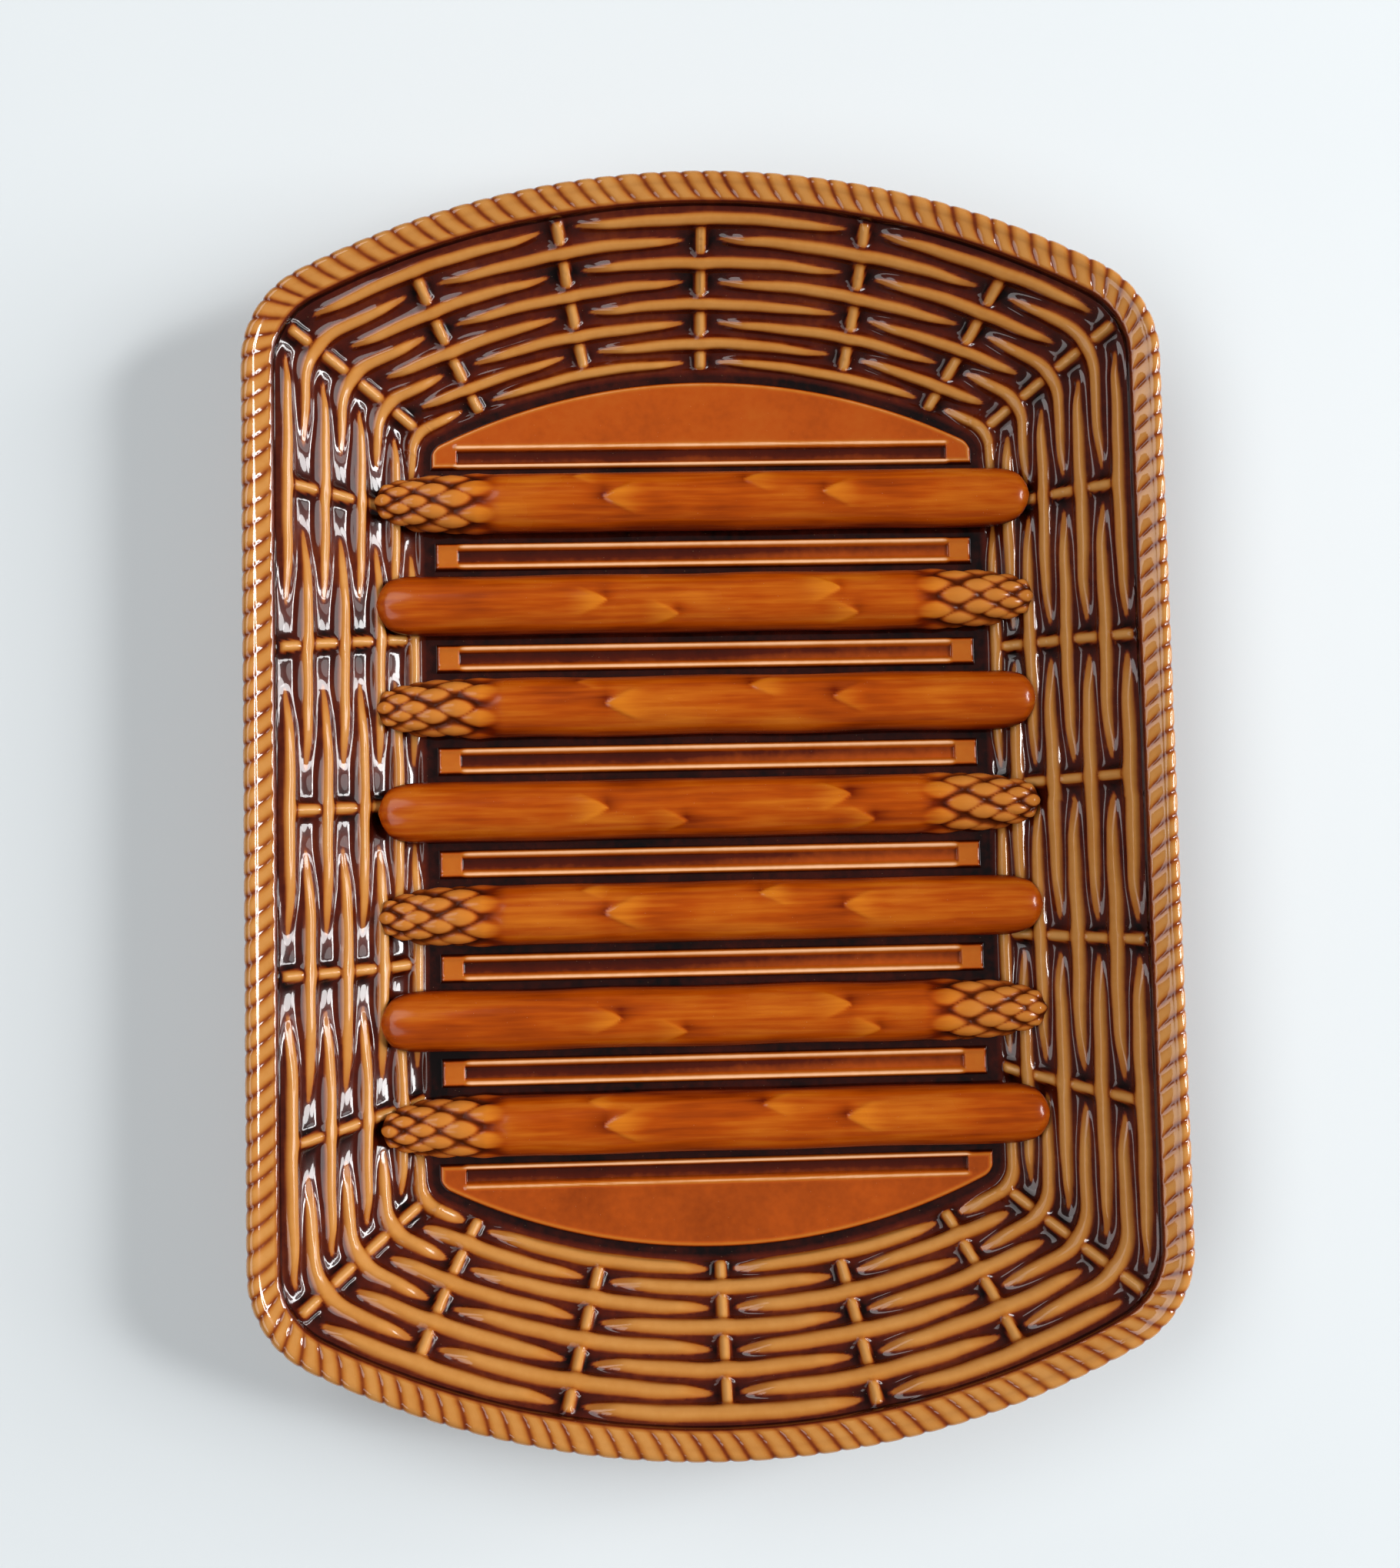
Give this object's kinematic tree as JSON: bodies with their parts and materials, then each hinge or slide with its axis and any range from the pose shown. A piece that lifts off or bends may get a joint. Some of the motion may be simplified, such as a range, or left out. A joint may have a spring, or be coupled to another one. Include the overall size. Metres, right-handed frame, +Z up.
{
  "type": "asparagus plate",
  "caption": "Moulded oblong serving plate with a wicker wall, a rope rim, and asparagus spears across the well with channelled drain bars between them.",
  "frame": {"origin": "on the table, under the middle of the plate", "axes": "+X runs along the spears, +Y points to the head end, +Z points up from the table"},
  "size_m": [0.275, 0.38, 0.042],
  "materials": {
    "glaze_dark": "high gloss, dark brown where the glaze pools",
    "glaze_caramel": "high gloss, caramel on crests",
    "glaze_russet": "high gloss, orange russet",
    "glaze_brown": "high gloss, orange brown",
    "bare_clay": "matt, unglazed"
  },
  "bodies": {
    "root": {"dish_body": "glaze_dark", "foot_ring": "bare_clay", "rope_rim": "glaze_caramel", "wicker_row_1": "glaze_caramel", "wicker_row_2": "glaze_caramel", "wicker_row_3": "glaze_caramel", "wicker_row_4": "glaze_caramel", "wicker_row_5": "glaze_caramel", "wicker_row_6": "glaze_caramel", "wicker_row_7": "glaze_caramel", "wicker_row_8": "glaze_caramel", "stakes_head": "glaze_caramel", "stakes_left": "glaze_caramel", "stakes_foot": "glaze_caramel", "stakes_right": "glaze_caramel", "stakes_corners": "glaze_caramel", "spear_1": "glaze_russet", "spear_2": "glaze_russet", "spear_3": "glaze_russet", "spear_4": "glaze_russet", "spear_5": "glaze_russet", "spear_6": "glaze_russet", "spear_7": "glaze_russet", "drain_bar_1": "glaze_brown", "drain_bar_2": "glaze_brown", "drain_bar_3": "glaze_brown", "drain_bar_4": "glaze_brown", "drain_bar_5": "glaze_brown", "drain_bar_6": "glaze_brown", "head_panel": "glaze_brown", "foot_panel": "glaze_brown"}
  },
  "joints": []
}
